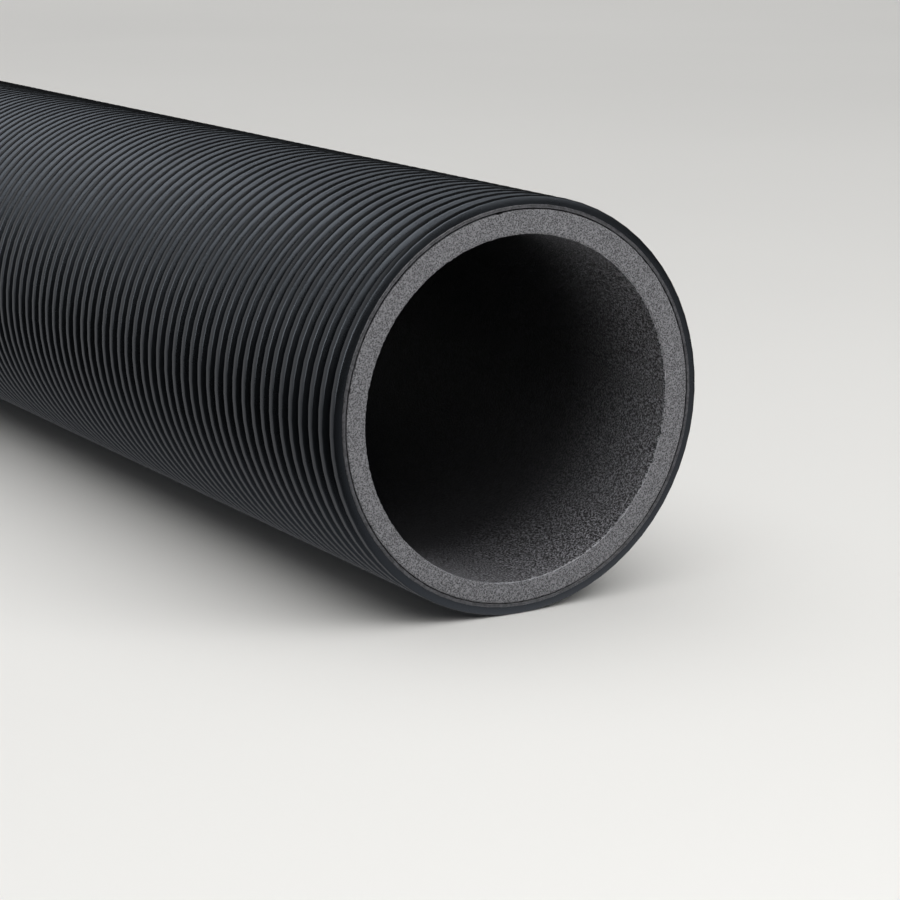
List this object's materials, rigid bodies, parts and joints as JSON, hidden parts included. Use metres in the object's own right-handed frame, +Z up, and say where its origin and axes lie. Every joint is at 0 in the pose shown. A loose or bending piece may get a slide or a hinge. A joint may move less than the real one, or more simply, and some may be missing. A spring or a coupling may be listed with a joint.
{
  "type": "insulated duct pipe",
  "caption": "Straight round air duct: a black corrugated plastic jacket around a grey foam liner with a smooth round bore, cut square at both ends.",
  "frame": {"origin": "on the ground under the middle of the pipe, midway between its ends", "axes": "+X along the pipe, out of the cut end that the picture shows; +Z up"},
  "size_m": [1, 0.1924, 0.1924],
  "materials": {
    "foam": "cut closed-cell polyethylene foam, grey, dull",
    "jacket": "moulded black polyethylene, satin"
  },
  "bodies": {
    "root": {"foam_liner": "foam", "corrugated_jacket": "jacket"}
  },
  "joints": []
}
